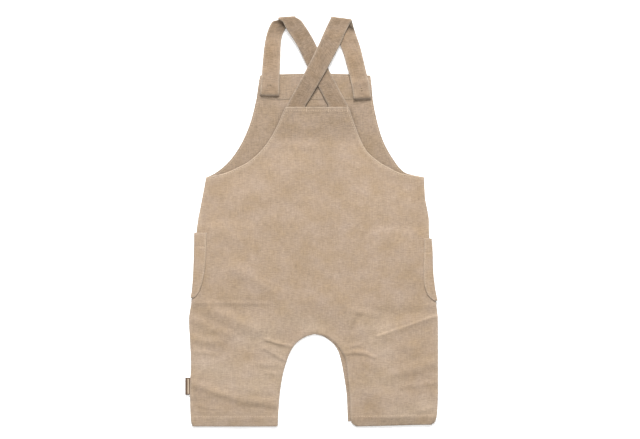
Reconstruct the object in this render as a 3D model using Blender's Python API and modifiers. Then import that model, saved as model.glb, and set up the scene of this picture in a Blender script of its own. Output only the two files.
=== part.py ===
"""Baby bib overalls in needlecord, laid flat with the front face down and the back face up.

Metres, +Z up. Seen from above, +X is to the right and +Y runs towards the straps. The front
panel lies lowest, the back panel on it, and two doubled straps leave the back's top edge, cross,
turn over and come down to the bib's inner face, where a button under the bib holds each one.
Every layer is a wall of cloth with GAP between it and the next.
"""

import math
from bisect import bisect_right
from collections import namedtuple

import bmesh
import bpy

# Cloth and gaps
CLOTH = 0.0012
FACING_CLOTH = 0.0010
POCKET_CLOTH = 0.0010
STRAP_THICK = 0.0020
LABEL_THICK = 0.0008
GAP = 0.0003

# Panel heights along Y
BIB_TOP = 0.1755
BIB_TOP_ARCH = 0.0026
FACING_LOWER = 0.1455
BACK_TOP = 0.1372
UNDERARM = 0.0530
CROTCH = -0.1350
CROTCH_X = 0.0035
BACK_HEM = -0.2458
FRONT_HEM = -0.2400
RIGHT_HEM_RISE = 0.0020

# Mesh spacing
COLUMNS = 8
LONGEST_STEP = 0.0155
BIB_STEP = 0.0100

# How far the back panel stands off the front one, away from its edges
FLAT_BORDER = 0.016
PUFF_WIDTH = 0.024
PUFF = 0.0016

# How far below its edges the arch of the top and the rise of the right hem fade out
ARCH_REACH = 0.04
RISE_FROM = 0.045
RISE_WIDTH = 0.10
RISE_BELOW_CROTCH = 0.04
RISE_REACH = 0.06

# Straps
TUCK_END = 0.1275
TUCK_LIFT_FROM = 0.0920
TUCK_LIFT_FULL = 0.1215
STRAP_STAND_OFF = 0.0006
STRAP_CLEAR = 0.006
STRAP_STEPS = 3
FOLD_STEPS = 8

# Buttons
BUTTON_RADIUS = 0.0075
BUTTON_THICK = 0.0024
BUTTON_RIM = 0.0012
BUTTON_DISH = 0.0006
BUTTON_EDGE = 0.0006
BUTTON_HOLE_RADIUS = 0.0009
BUTTON_HOLE_SPREAD = 0.0014
BUTTON_CENTRES = {"button_left": (-0.0528, 0.1630), "button_right": (0.0598, 0.1592)}
BUTTON_LIFT_INNER = 0.013
BUTTON_LIFT_OUTER = 0.025

# Label tab, folded tape in the side seam
LABEL_LOW = -0.2081
LABEL_HIGH = -0.1876
LABEL_OUT = -0.1517
LABEL_IN = -0.1405
LABEL_REACH = 0.018

# Width of the pockets' part on the front panel, and how far the panels rise past them
POCKET_FRONT = 0.060
POCKET_MARGIN = 0.017
POCKET_SEAM_X = 0.1400
POCKET_FRONT_STEPS = 4
POCKET_TURN_STEPS = 6
POCKET_BACK_STEPS = 2
POCKET_RAMP = 0.018

CORD_COLOUR = (0.53, 0.40, 0.29, 1.0)
STRAP_COLOUR = (0.50, 0.37, 0.27, 1.0)
BUTTON_COLOUR = (0.42, 0.30, 0.20, 1.0)
LABEL_COLOUR = (0.30, 0.24, 0.19, 1.0)

Edges = namedtuple("Edges", "y left right")
Inseam = namedtuple("Inseam", "y left_leg right_leg_back right_leg_front")
PocketRow = namedtuple("PocketRow", "y strip front")
Rib = namedtuple("Rib", "left_x left_y right_x right_y z")
Fold = namedtuple("Fold", "x0 y0 x1 y1 half_width height")
Panel = namedtuple("Panel", "top arch sides inseam_right hem")

# Side seams from hem to underarm
SIDES = [
    Edges(-0.2458, -0.1425, 0.1440),
    Edges(-0.2430, -0.1440, 0.1478),
    Edges(-0.2330, -0.1451, 0.1505),
    Edges(-0.2050, -0.1459, 0.1517),
    Edges(-0.1710, -0.1447, 0.1517),
    Edges(-0.1420, -0.1459, 0.1517),
    Edges(-0.1180, -0.1471, 0.1515),
    Edges(-0.0990, -0.1445, 0.1495),
    Edges(-0.0820, -0.1412, 0.1462),
    Edges(-0.0600, -0.1396, 0.1435),
    Edges(-0.0320, -0.1385, 0.1424),
    Edges(-0.0150, -0.1380, 0.1409),
    Edges(0.0020, -0.1362, 0.1407),
    Edges(0.0160, -0.1335, 0.1385),
    Edges(0.0280, -0.1312, 0.1362),
    Edges(UNDERARM, -0.1265, 0.1349),
]
# Armhole edges of the bib, from underarm to top
BIB_SIDES = [
    Edges(UNDERARM, -0.1265, 0.1349),
    Edges(0.0590, -0.1147, 0.1120),
    Edges(0.0738, -0.0979, 0.0989),
    Edges(0.0978, -0.0823, 0.0857),
    Edges(0.1218, -0.0727, 0.0785),
    Edges(0.1465, -0.0667, 0.0737),
    Edges(BIB_TOP, -0.0619, 0.0708),
]
# Armhole edges of the back, from underarm to top
BACK_SIDES = [
    Edges(UNDERARM, -0.1265, 0.1349),
    Edges(0.0575, -0.1051, 0.1080),
    Edges(0.0640, -0.0900, 0.0940),
    Edges(0.0710, -0.0766, 0.0815),
    Edges(0.0860, -0.0596, 0.0650),
    Edges(0.1079, -0.0446, 0.0545),
    Edges(BACK_TOP, -0.0312, 0.0444),
]
# Inner edges of the legs, from hem to crotch; the front's right leg shows past the back's
INSEAM = [
    Inseam(-0.2458, -0.0412, 0.0535, 0.0442),
    Inseam(-0.2412, -0.0406, 0.0478, 0.0438),
    Inseam(-0.2330, -0.0403, 0.0470, 0.0434),
    Inseam(-0.2110, -0.0388, 0.0462, 0.0425),
    Inseam(-0.1850, -0.0350, 0.0437, 0.0390),
    Inseam(-0.1670, -0.0300, 0.0414, 0.0355),
    Inseam(-0.1566, -0.0259, 0.0362, 0.0325),
    Inseam(-0.1475, -0.0200, 0.0292, 0.0270),
    Inseam(-0.1422, -0.0139, 0.0227, 0.0209),
    Inseam(-0.1375, -0.0055, 0.0150, 0.0130),
    Inseam(CROTCH, CROTCH_X, CROTCH_X, CROTCH_X),
]
# Each pocket from its top edge down: the strip that shows on the back, and the part on the front
POCKETS = {
    "pocket_left": [
        PocketRow(-0.0134, 0.0118, 0.0600),
        PocketRow(-0.0325, 0.0120, 0.0600),
        PocketRow(-0.0556, 0.0112, 0.0600),
        PocketRow(-0.0708, 0.0096, 0.0590),
        PocketRow(-0.0830, 0.0066, 0.0560),
        PocketRow(-0.0892, 0.0036, 0.0500),
        PocketRow(-0.0915, 0.0010, 0.0440),
    ],
    "pocket_right": [
        PocketRow(-0.0203, 0.0062, 0.0600),
        PocketRow(-0.0433, 0.0080, 0.0600),
        PocketRow(-0.0600, 0.0090, 0.0600),
        PocketRow(-0.0750, 0.0098, 0.0590),
        PocketRow(-0.0860, 0.0084, 0.0560),
        PocketRow(-0.0925, 0.0045, 0.0500),
        PocketRow(-0.0950, 0.0010, 0.0440),
    ],
}
# Ribs across each strap: from the end tucked under the back to the turn, then down to the bib.
# A turn has the bend's own line, its radius, and how far out its right end reaches beside its left
STRAP_RIGHT_BACK = [
    Rib(-0.0295, TUCK_END, -0.0085, TUCK_END, 0.0025),
    Rib(-0.0298, 0.1385, -0.0072, 0.1385, 0.0025),
    Rib(-0.0200, 0.1572, 0.0001, 0.1508, 0.0054),
    Rib(-0.0100, 0.1752, 0.0072, 0.1630, 0.0071),
    Rib(0.0072, 0.2095, 0.0206, 0.1862, 0.0071),
    Rib(0.0130, 0.2230, 0.0347, 0.2131, 0.0056),
    Rib(0.0183, 0.2345, 0.0430, 0.2318, 0.0039),
]
STRAP_RIGHT_TURN = (Rib(0.0228, 0.2439, 0.0485, 0.2414, 0.00255), 0.00135, 1.0)
STRAP_RIGHT_FRONT = [
    Rib(0.0261, 0.2324, 0.0518, 0.2299, 0.0012),
    Rib(0.0373, 0.2037, 0.0586, 0.2095, 0.0014),
    Rib(0.0415, 0.1893, 0.0622, 0.1950, 0.0030),
    Rib(0.0451, 0.1760, 0.0656, 0.1800, 0.0052),
    Rib(0.0483, 0.1609, 0.0692, 0.1640, 0.0060),
    Rib(0.0506, 0.1464, 0.0718, 0.1476, 0.0060),
]
STRAP_LEFT_BACK = [
    Rib(0.0205, TUCK_END, 0.0420, TUCK_END, 0.0025),
    Rib(0.0200, 0.1385, 0.0436, 0.1385, 0.0025),
    Rib(0.0140, 0.1503, 0.0350, 0.1550, 0.0038),
    Rib(0.0077, 0.1624, 0.0262, 0.1720, 0.0038),
    Rib(-0.0058, 0.1874, 0.0129, 0.1970, 0.0038),
    Rib(-0.0174, 0.2110, 0.0010, 0.2205, 0.0052),
    Rib(-0.0305, 0.2312, -0.0090, 0.2362, 0.0076),
    Rib(-0.0345, 0.2390, -0.0140, 0.2420, 0.0080),
]
STRAP_LEFT_TURN = (Rib(-0.0400, 0.2416, -0.0188, 0.2442, 0.00500), 0.00300, 0.45)
STRAP_LEFT_FRONT = [
    Rib(-0.0472, 0.2398, -0.0262, 0.2396, 0.0018),
    Rib(-0.0521, 0.2308, -0.0308, 0.2322, 0.0015),
    Rib(-0.0549, 0.2215, -0.0352, 0.2232, 0.0014),
    Rib(-0.0571, 0.2090, -0.0370, 0.2100, 0.0013),
    Rib(-0.0586, 0.1930, -0.0374, 0.1930, 0.0028),
    Rib(-0.0595, 0.1806, -0.0380, 0.1806, 0.0050),
    Rib(-0.0607, 0.1660, -0.0385, 0.1655, 0.0060),
    Rib(-0.0619, 0.1514, -0.0388, 0.1506, 0.0060),
]
# The broadest folds of the back panel: a ridge where height is above zero, a trough below
FOLDS = [
    Fold(-0.146, -0.092, -0.050, -0.094, 0.016, 0.0008),
    Fold(0.150, -0.113, 0.090, -0.137, 0.018, 0.0012),
    Fold(-0.128, -0.107, -0.091, -0.131, 0.018, -0.0006),
    Fold(-0.138, -0.204, -0.044, -0.224, 0.016, 0.0008),
]


def clear_scene():
    for obj in list(bpy.data.objects):
        bpy.data.objects.remove(obj, do_unlink=True)


def collection(name, hidden=False):
    made = bpy.data.collections.new(name)
    made.hide_render = hidden
    bpy.context.scene.collection.children.link(made)
    return made


def material(name, colour, roughness):
    made = bpy.data.materials.new(name)
    made.use_nodes = True
    shader = made.node_tree.nodes["Principled BSDF"]
    shader.inputs["Base Color"].default_value = colour
    shader.inputs["Roughness"].default_value = roughness
    shader.inputs["Metallic"].default_value = 0.0
    return made


def ramp(value):
    """0 below 0, 1 above 1, and a smooth step between."""
    t = min(max(value, 0.0), 1.0)
    return t * t * (3 - 2 * t)


def curve_through(stations, values):
    """A smooth function through the points that doesn't overshoot them."""
    steps = [b - a for a, b in zip(stations, stations[1:])]
    rates = [(b - a) / step for a, b, step in zip(values, values[1:], steps)]
    slopes = [rates[0]]
    for before, after in zip(rates, rates[1:]):
        turns = before * after <= 0
        slopes.append(0.0 if turns else 2 * before * after / (before + after))
    slopes.append(rates[-1])

    def value(at):
        at = min(max(at, stations[0]), stations[-1])
        i = min(bisect_right(stations, at), len(steps)) - 1
        t = (at - stations[i]) / steps[i]
        start = (1 + 2 * t) * (1 - t) ** 2 * values[i]
        end = t * t * (3 - 2 * t) * values[i + 1]
        bend = t * (1 - t) ** 2 * slopes[i] - t * t * (1 - t) * slopes[i + 1]
        return start + end + steps[i] * bend

    return value


def column(rows, name):
    return curve_through([row.y for row in rows], [getattr(row, name) for row in rows])


def steps_through(marks, longest):
    """Values from the first mark to the last, through each mark, no further apart than longest."""
    values = [marks[0]]
    for a, b in zip(marks, marks[1:]):
        count = math.ceil((b - a) / longest - 1e-9)
        values += [a + (b - a) * i / count for i in range(1, count + 1)]
    return values


def side_x(panel, y, side):
    rows = SIDES if y <= UNDERARM else panel.sides
    return column(rows, side)(y)


def panel_marks(panel):
    """The heights that a panel's rows run through, from hem to top."""
    lower = [row.y for row in INSEAM if row.y > panel.hem]
    body = [row.y for row in SIDES if row.y > CROTCH]
    upper = [row.y for row in panel.sides[1:]]
    return [panel.hem] + lower + body + upper


def panel_rows(panel):
    """Rows of points from hem to top. Each is a run for the left half and one for the right half."""
    marks = panel_marks(panel)
    split = marks.index(UNDERARM)
    heights = steps_through(marks[: split + 1], LONGEST_STEP)
    heights += steps_through(marks[split:], BIB_STEP)[1:]
    rows = []
    for y in heights:
        middle = (column(INSEAM, "left_leg")(y), column(INSEAM, panel.inseam_right)(y))
        if y >= CROTCH:
            middle = (CROTCH_X, CROTCH_X)
        left = spread(side_x(panel, y, "left"), middle[0])
        right = spread(middle[1], side_x(panel, y, "right"))
        rows.append([[shaped(panel, x, y) for x in half] for half in (left, right)])
    return rows


def spread(start, end):
    """COLUMNS equal steps from start to end, both ends exact."""
    return [start + (end - start) * i / COLUMNS for i in range(COLUMNS)] + [end]


def shaped(panel, x, y):
    """A point moved for the arch of the top edge and the rise of the right leg's hem."""
    half = (panel.sides[-1].right - panel.sides[-1].left) / 2
    across = (x - (panel.sides[-1].right + panel.sides[-1].left) / 2) / half
    y += panel.arch * max(0.0, 1 - across * across) * ramp((y - panel.top + ARCH_REACH) / ARCH_REACH)
    outer = ramp((x - RISE_FROM) / RISE_WIDTH)
    low = ramp((CROTCH - RISE_BELOW_CROTCH - y) / RISE_REACH)
    return x, y + RIGHT_HEM_RISE * outer * low


def pocket_lift(x, y):
    """How much of the pockets' thickness the panels take up at a point, from 0 to 1."""
    lifts = []
    for rows in POCKETS.values():
        past = max(rows[-1].y - POCKET_MARGIN - y, y - rows[0].y - POCKET_MARGIN, 0.0)
        inside = max(POCKET_SEAM_X - POCKET_FRONT - POCKET_MARGIN - abs(x), 0.0)
        on_side = (x < 0) == (rows is POCKETS["pocket_left"])
        lifts.append(on_side * ramp(1 - math.hypot(past, inside) / POCKET_RAMP))
    return max(lifts)


def button_lift(x, y):
    far = BUTTON_LIFT_OUTER - BUTTON_LIFT_INNER
    away = [math.hypot(x - bx, y - by) for bx, by in BUTTON_CENTRES.values()]
    return ramp(1 - (min(away) - BUTTON_LIFT_INNER) / far)


def front_middle(x, y):
    """Height of the front panel's middle surface: it lies flat but for what is under it."""
    lift = (POCKET_CLOTH + GAP) * pocket_lift(x, y) + (BUTTON_THICK + GAP) * button_lift(x, y)
    return CLOTH / 2 + lift


def facing_middle(x, y):
    return front_middle(x, y) + CLOTH / 2 + GAP + FACING_CLOTH / 2


def outline_of(rows):
    """The panel's outline, as the end points of its rows."""
    found = [run[end] for row in rows for run in row for end in (0, -1)]
    return found + rows[0][0] + rows[0][1] + rows[-1][0] + rows[-1][1]


def distance_to_run(x, y, x0, y0, x1, y1):
    length = (x1 - x0) ** 2 + (y1 - y0) ** 2
    along = min(max(((x - x0) * (x1 - x0) + (y - y0) * (y1 - y0)) / length, 0.0), 1.0)
    return math.hypot(x - x0 - along * (x1 - x0), y - y0 - along * (y1 - y0))


def fold_height(x, y):
    """Sum of the broad folds at a point."""
    total = 0.0
    for fold in FOLDS:
        away = distance_to_run(x, y, fold.x0, fold.y0, fold.x1, fold.y1)
        total += fold.height * ramp(1 - away / fold.half_width)
    return total


def back_middle(outline):
    """The height of the back panel's middle surface, as a function of x and y."""
    edge = [point for point in outline if point[1] < BACK_TOP + GAP]

    def height(x, y):
        inside = min(math.hypot(x - ex, y - ey) for ex, ey in edge)
        puff = ramp((inside - FLAT_BORDER) / PUFF_WIDTH)
        tuck = ramp((y - TUCK_LIFT_FROM) / (TUCK_LIFT_FULL - TUCK_LIFT_FROM))
        off_label = max(LABEL_LOW - y, y - LABEL_HIGH, x - LABEL_IN) - LABEL_REACH
        label = ramp(1 - max(off_label, 0.0) / LABEL_REACH)
        over_front = front_middle(x, y) + CLOTH + GAP
        lifts = (STRAP_THICK + GAP) * tuck + (LABEL_THICK + GAP) * label
        return over_front + lifts + puff * (PUFF + fold_height(x, y))

    return height


def object_from(name, bm, into, finish, smooth=True):
    bmesh.ops.recalc_face_normals(bm, faces=bm.faces)
    mesh = bpy.data.meshes.new(name)
    bm.to_mesh(mesh)
    bm.free()
    mesh.materials.append(finish)
    if smooth:
        mesh.shade_smooth()
        mesh.set_sharp_from_angle(angle=math.radians(40))
    made = bpy.data.objects.new(name, mesh)
    into.objects.link(made)
    return made


def grid_faces(bm, rows):
    """Quads between neighbouring rows of vertices. Rows share a vertex where they meet."""
    for lower, upper in zip(rows, rows[1:]):
        for i in range(len(lower) - 1):
            corners = [lower[i], lower[i + 1], upper[i + 1], upper[i]]
            bm.faces.new(list(dict.fromkeys(corners)))


def face_up(bm):
    """Turns the sheet so that its normals point up, for Solidify."""
    bm.normal_update()
    if sum(face.normal.z * face.calc_area() for face in bm.faces) < 0:
        bmesh.ops.reverse_faces(bm, faces=bm.faces)


def thicken(obj, thickness):
    solid = obj.modifiers.new("wall", "SOLIDIFY")
    solid.thickness = thickness
    solid.offset = 0
    solid.use_even_offset = True
    solid.use_quality_normals = True
    return obj


def sheet_from_rows(name, rows, height, thickness, into, finish):
    """A wall of cloth on a panel's rows: the two halves share the middle column above the crotch."""
    bm = bmesh.new()
    made = {}

    def vertex(point):
        if point not in made:
            made[point] = bm.verts.new((point[0], point[1], height(*point)))
        return made[point]

    for half in (0, 1):
        grid_faces(bm, [[vertex(point) for point in row[half]] for row in rows])
    face_up(bm)
    return thicken(object_from(name, bm, into, finish), thickness)


def make_panels(into, cord):
    front = Panel(BIB_TOP, BIB_TOP_ARCH, BIB_SIDES, "right_leg_front", FRONT_HEM)
    back = Panel(BACK_TOP, 0.0, BACK_SIDES, "right_leg_back", BACK_HEM)
    front_rows = panel_rows(front)
    back_rows = panel_rows(back)
    sheet_from_rows("front_panel", front_rows, front_middle, CLOTH, into, cord)
    sheet_from_rows("back_panel", back_rows, back_middle(outline_of(back_rows)), CLOTH, into, cord)
    on_facing = [row for row in front_rows if row[0][0][1] > FACING_LOWER]
    sheet_from_rows("bib_facing", on_facing, facing_middle, FACING_CLOTH, into, cord)


def make_pocket(name, rows, into, cord):
    """A patch that lies under the front panel, turns round the side seam and ends on the back."""
    side = "left" if name == "pocket_left" else "right"
    outward = -1 if side == "left" else 1
    low = POCKET_CLOTH / 2
    high = POCKET_CLOTH + 2 * (GAP + CLOTH) + GAP + POCKET_CLOTH / 2
    radius = (high - low) / 2
    edge_at = column(SIDES, side)
    heights = steps_through([-row.y for row in rows], LONGEST_STEP)
    strip_at = curve_through([-row.y for row in rows], [row.strip for row in rows])
    front_at = curve_through([-row.y for row in rows], [row.front for row in rows])
    bm = bmesh.new()
    grid = []
    for down in heights:
        edge = edge_at(-down)
        shares = [1 - i / POCKET_FRONT_STEPS for i in range(POCKET_FRONT_STEPS)]
        inwards = [front_at(down) * share for share in shares]
        points = [(edge - outward * inward, low) for inward in inwards]
        for i in range(POCKET_TURN_STEPS + 1):
            angle = math.pi * i / POCKET_TURN_STEPS
            out = outward * radius * math.sin(angle)
            points.append((edge + out, low + radius * (1 - math.cos(angle))))
        for i in range(1, POCKET_BACK_STEPS + 1):
            inward = strip_at(down) * i / POCKET_BACK_STEPS
            points.append((edge - outward * inward, high))
        grid.append([bm.verts.new((x, -down, z)) for x, z in points])
    grid_faces(bm, grid)
    thicken(object_from(name, bm, into, cord), POCKET_CLOTH)


def turn_ribs(turn, radius, taper):
    """Ribs round the bend where a strap turns over, which reaches out less at its right end."""
    run_x, run_y = turn.right_x - turn.left_x, turn.right_y - turn.left_y
    length = math.hypot(run_x, run_y)
    out_x, out_y = -run_y / length, run_x / length
    ribs = []
    for i in range(FOLD_STEPS + 1):
        angle = math.pi * i / FOLD_STEPS
        reach = radius * math.sin(angle)
        z = turn.z + radius * math.cos(angle)
        ribs.append(
            Rib(
                turn.left_x + reach * out_x,
                turn.left_y + reach * out_y,
                turn.right_x + taper * reach * out_x,
                turn.right_y + taper * reach * out_y,
                z,
            )
        )
    return ribs


def smoothed(ribs):
    """More ribs between the given ones, on Catmull-Rom curves through them."""
    found = [ribs[0]]
    for i in range(len(ribs) - 1):
        a, b, c, d = (ribs[min(max(i + k, 0), len(ribs) - 1)] for k in (-1, 0, 1, 2))
        for step in range(1, STRAP_STEPS + 1):
            t = step / STRAP_STEPS
            found.append(Rib(*(catmull(p, q, r, s, t) for p, q, r, s in zip(a, b, c, d))))
    return found


def catmull(p, q, r, s, t):
    square = 2 * p - 5 * q + 4 * r - s
    cube = 3 * q - p - 3 * r + s
    return 0.5 * (2 * q + (r - p) * t + square * t**2 + cube * t**3)


def above_bib(rib):
    """The rib raised to clear the facing under it, where it lies on the bib's inner face."""
    off_facing = max(rib.left_y, rib.right_y) < FACING_LOWER - STRAP_CLEAR
    if off_facing or min(rib.left_y, rib.right_y) > BIB_TOP + STRAP_CLEAR:
        return rib
    middle = ((rib.left_x + rib.right_x) / 2, (rib.left_y + rib.right_y) / 2)
    across = ((rib.left_x, rib.left_y), middle, (rib.right_x, rib.right_y))
    tops = [facing_middle(x, y) for x, y in across]
    least = max(tops) + FACING_CLOTH / 2 + GAP + STRAP_THICK / 2 + STRAP_STAND_OFF
    return rib._replace(z=max(rib.z, least))


def make_strap(name, upper, turn, lower, into, cord):
    bend = turn_ribs(*turn)
    ribs = smoothed(upper + bend[:1])[:-1] + bend + smoothed(bend[-1:] + lower)[1:]
    bm = bmesh.new()
    grid = []
    for rib in map(above_bib, ribs):
        middle = ((rib.left_x + rib.right_x) / 2, (rib.left_y + rib.right_y) / 2)
        points = [(rib.left_x, rib.left_y), middle, (rib.right_x, rib.right_y)]
        grid.append([bm.verts.new((x, y, rib.z)) for x, y in points])
    grid_faces(bm, grid)
    thicken(object_from(name, bm, into, cord), STRAP_THICK)


def make_button(name, centre, into, cutters, finish):
    """A sew-through button, face down: a turned disc with a dished face and four thread holes."""
    profile = [
        (0.0, BUTTON_THICK),
        (BUTTON_RADIUS - BUTTON_EDGE, BUTTON_THICK),
        (BUTTON_RADIUS, BUTTON_THICK - BUTTON_EDGE),
        (BUTTON_RADIUS, BUTTON_EDGE),
        (BUTTON_RADIUS - BUTTON_EDGE, 0.0),
        (BUTTON_RADIUS - BUTTON_RIM, 0.0),
        (BUTTON_RADIUS - BUTTON_RIM - BUTTON_EDGE, BUTTON_DISH),
        (0.0, BUTTON_DISH),
    ]
    bm = bmesh.new()
    verts = [bm.verts.new((x, 0, z)) for x, z in profile]
    for a, b in zip(verts, verts[1:]):
        bm.edges.new((a, b))
    mesh = bpy.data.meshes.new(name)
    bm.to_mesh(mesh)
    bm.free()
    mesh.materials.append(finish)
    button = bpy.data.objects.new(name, mesh)
    button.location = (centre[0], centre[1], 0)
    into.objects.link(button)
    turned = button.modifiers.new("turned", "SCREW")
    turned.steps = turned.render_steps = 32
    turned.use_merge_vertices = True
    turned.merge_threshold = 0.00001
    for i in range(4):
        angle = math.pi / 4 + i * math.pi / 2
        bm = bmesh.new()
        bmesh.ops.create_cone(
            bm,
            cap_ends=True,
            segments=12,
            radius1=BUTTON_HOLE_RADIUS,
            radius2=BUTTON_HOLE_RADIUS,
            depth=3 * BUTTON_THICK,
        )
        cutter = object_from(f"{name}_hole_{i}", bm, cutters, finish)
        spread = BUTTON_HOLE_SPREAD * math.sqrt(2)
        cutter.location = (
            centre[0] + spread * math.cos(angle),
            centre[1] + spread * math.sin(angle),
            BUTTON_THICK / 2,
        )
        cutter.hide_render = True
        cutter.display_type = "WIRE"
        cut = button.modifiers.new(f"hole_{i}", "BOOLEAN")
        cut.operation = "DIFFERENCE"
        cut.solver = "EXACT"
        cut.object = cutter


def make_label(into, finish):
    """Folded tape between the two panels at the side seam, with its fold outwards."""
    low = CLOTH + GAP
    bm = bmesh.new()
    bmesh.ops.create_cube(bm, size=1)
    sizes = (LABEL_IN - LABEL_OUT, LABEL_HIGH - LABEL_LOW, LABEL_THICK)
    bmesh.ops.scale(bm, vec=sizes, verts=bm.verts)
    label = object_from("label_tab", bm, into, finish, smooth=False)
    label.location = ((LABEL_IN + LABEL_OUT) / 2, (LABEL_HIGH + LABEL_LOW) / 2, low + LABEL_THICK / 2)
    bevel = label.modifiers.new("soft_edges", "BEVEL")
    bevel.width = LABEL_THICK / 4
    bevel.segments = 2


def main():
    clear_scene()
    overalls = collection("bib_overalls")
    cutters = collection("cutters", hidden=True)
    cord = material("cord_cloth", CORD_COLOUR, 0.9)
    strap_cord = material("strap_cloth", STRAP_COLOUR, 0.9)
    button_finish = material("button", BUTTON_COLOUR, 0.45)
    label_finish = material("label_tape", LABEL_COLOUR, 0.8)
    make_panels(overalls, cord)
    for name, rows in POCKETS.items():
        make_pocket(name, rows, overalls, cord)
    make_strap("strap_right", STRAP_RIGHT_BACK, STRAP_RIGHT_TURN, STRAP_RIGHT_FRONT, overalls, strap_cord)
    make_strap("strap_left", STRAP_LEFT_BACK, STRAP_LEFT_TURN, STRAP_LEFT_FRONT, overalls, strap_cord)
    for name, centre in BUTTON_CENTRES.items():
        make_button(name, centre, overalls, cutters, button_finish)
    make_label(overalls, label_finish)


main()
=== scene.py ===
import math
from collections import namedtuple

import bmesh
import bpy
import numpy as np
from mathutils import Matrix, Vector, noise


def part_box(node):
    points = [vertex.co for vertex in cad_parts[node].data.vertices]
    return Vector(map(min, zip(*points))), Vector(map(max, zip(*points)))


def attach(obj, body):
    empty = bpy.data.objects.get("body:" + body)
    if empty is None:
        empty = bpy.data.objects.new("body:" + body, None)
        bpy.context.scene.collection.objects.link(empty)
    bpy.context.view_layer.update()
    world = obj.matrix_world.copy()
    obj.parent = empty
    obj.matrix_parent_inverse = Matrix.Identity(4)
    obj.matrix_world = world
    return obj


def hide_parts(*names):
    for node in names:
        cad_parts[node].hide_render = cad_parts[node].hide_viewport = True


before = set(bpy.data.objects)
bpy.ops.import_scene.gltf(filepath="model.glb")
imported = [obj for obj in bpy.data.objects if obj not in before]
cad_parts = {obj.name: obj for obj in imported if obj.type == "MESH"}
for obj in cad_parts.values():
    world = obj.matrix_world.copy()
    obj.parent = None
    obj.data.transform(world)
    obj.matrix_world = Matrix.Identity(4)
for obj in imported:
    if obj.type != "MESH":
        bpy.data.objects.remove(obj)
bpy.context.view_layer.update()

MM = 0.001

# ---- Sizes shared with the frame -------------------------------------------------------------
BACK_LOW, BACK_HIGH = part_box("back_panel")
FRONT_LOW, FRONT_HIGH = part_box("front_panel")
LABEL_LOW, LABEL_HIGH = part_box("label_tab")
BACK_HEM, BACK_TOP = BACK_LOW.y, BACK_HIGH.y
FRONT_HEM = FRONT_LOW.y
BIB_ARCH = 0.0026
BIB_TOP = FRONT_HIGH.y - BIB_ARCH
BUTTONS = [(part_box(n)[0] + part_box(n)[1]) / 2 for n in ("button_left", "button_right")]
BUTTON_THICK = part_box("button_left")[1].z

UNDERARM = 0.0530
CROTCH = -0.1350
CROTCH_X = 0.0035
RIGHT_HEM_RISE = 0.0020
FACING_LOWER = 0.1462
TUCK_END = 0.1275

CLOTH = 0.0011
GAP = 0.0003
POCKET_CLOTH = 0.0010
FACING_CLOTH = 0.0005
STRAP_THICK = 0.0021
TURNING = 0.0070
FACING_SUNK, FACING_SUNK_REACH = 0.00034, 0.0035
HEM_DEPTH = 0.0115

Edges = namedtuple("Edges", "y left right")
Inseam = namedtuple("Inseam", "y left_leg right_leg_back right_leg_front")
PocketRow = namedtuple("PocketRow", "y strip front")
Rib = namedtuple("Rib", "left_x left_y right_x right_y z")
Fold = namedtuple("Fold", "half_width height route")

SIDES = [
    Edges(-0.2458, -0.1425, 0.1440),
    Edges(-0.2430, -0.1440, 0.1478),
    Edges(-0.2330, -0.1451, 0.1505),
    Edges(-0.2050, -0.1459, 0.1517),
    Edges(-0.1710, -0.1447, 0.1517),
    Edges(-0.1420, -0.1459, 0.1517),
    Edges(-0.1180, -0.1471, 0.1515),
    Edges(-0.0990, -0.1445, 0.1495),
    Edges(-0.0820, -0.1412, 0.1462),
    Edges(-0.0600, -0.1396, 0.1435),
    Edges(-0.0320, -0.1385, 0.1424),
    Edges(-0.0150, -0.1380, 0.1409),
    Edges(0.0020, -0.1362, 0.1407),
    Edges(0.0160, -0.1335, 0.1385),
    Edges(0.0280, -0.1312, 0.1362),
    Edges(UNDERARM, -0.1265, 0.1349),
]
BIB_SIDES = [
    Edges(UNDERARM, -0.1265, 0.1349),
    Edges(0.0590, -0.1147, 0.1120),
    Edges(0.0738, -0.0979, 0.0989),
    Edges(0.0978, -0.0823, 0.0857),
    Edges(0.1218, -0.0727, 0.0785),
    Edges(0.1465, -0.0667, 0.0737),
    Edges(BIB_TOP, -0.0619, 0.0708),
]
BACK_SIDES = [
    Edges(UNDERARM, -0.1265, 0.1349),
    Edges(0.0575, -0.1051, 0.1080),
    Edges(0.0640, -0.0900, 0.0940),
    Edges(0.0710, -0.0766, 0.0815),
    Edges(0.0860, -0.0596, 0.0650),
    Edges(0.1079, -0.0446, 0.0545),
    Edges(BACK_TOP, -0.0312, 0.0444),
]
INSEAM = [
    Inseam(-0.2458, -0.0412, 0.0535, 0.0442),
    Inseam(-0.2412, -0.0406, 0.0478, 0.0438),
    Inseam(-0.2330, -0.0403, 0.0470, 0.0434),
    Inseam(-0.2110, -0.0388, 0.0462, 0.0425),
    Inseam(-0.1850, -0.0350, 0.0437, 0.0390),
    Inseam(-0.1670, -0.0300, 0.0414, 0.0355),
    Inseam(-0.1566, -0.0259, 0.0362, 0.0325),
    Inseam(-0.1475, -0.0200, 0.0292, 0.0270),
    Inseam(-0.1422, -0.0139, 0.0227, 0.0209),
    Inseam(-0.1375, -0.0055, 0.0150, 0.0130),
    Inseam(CROTCH, CROTCH_X, CROTCH_X, CROTCH_X),
]
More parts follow.
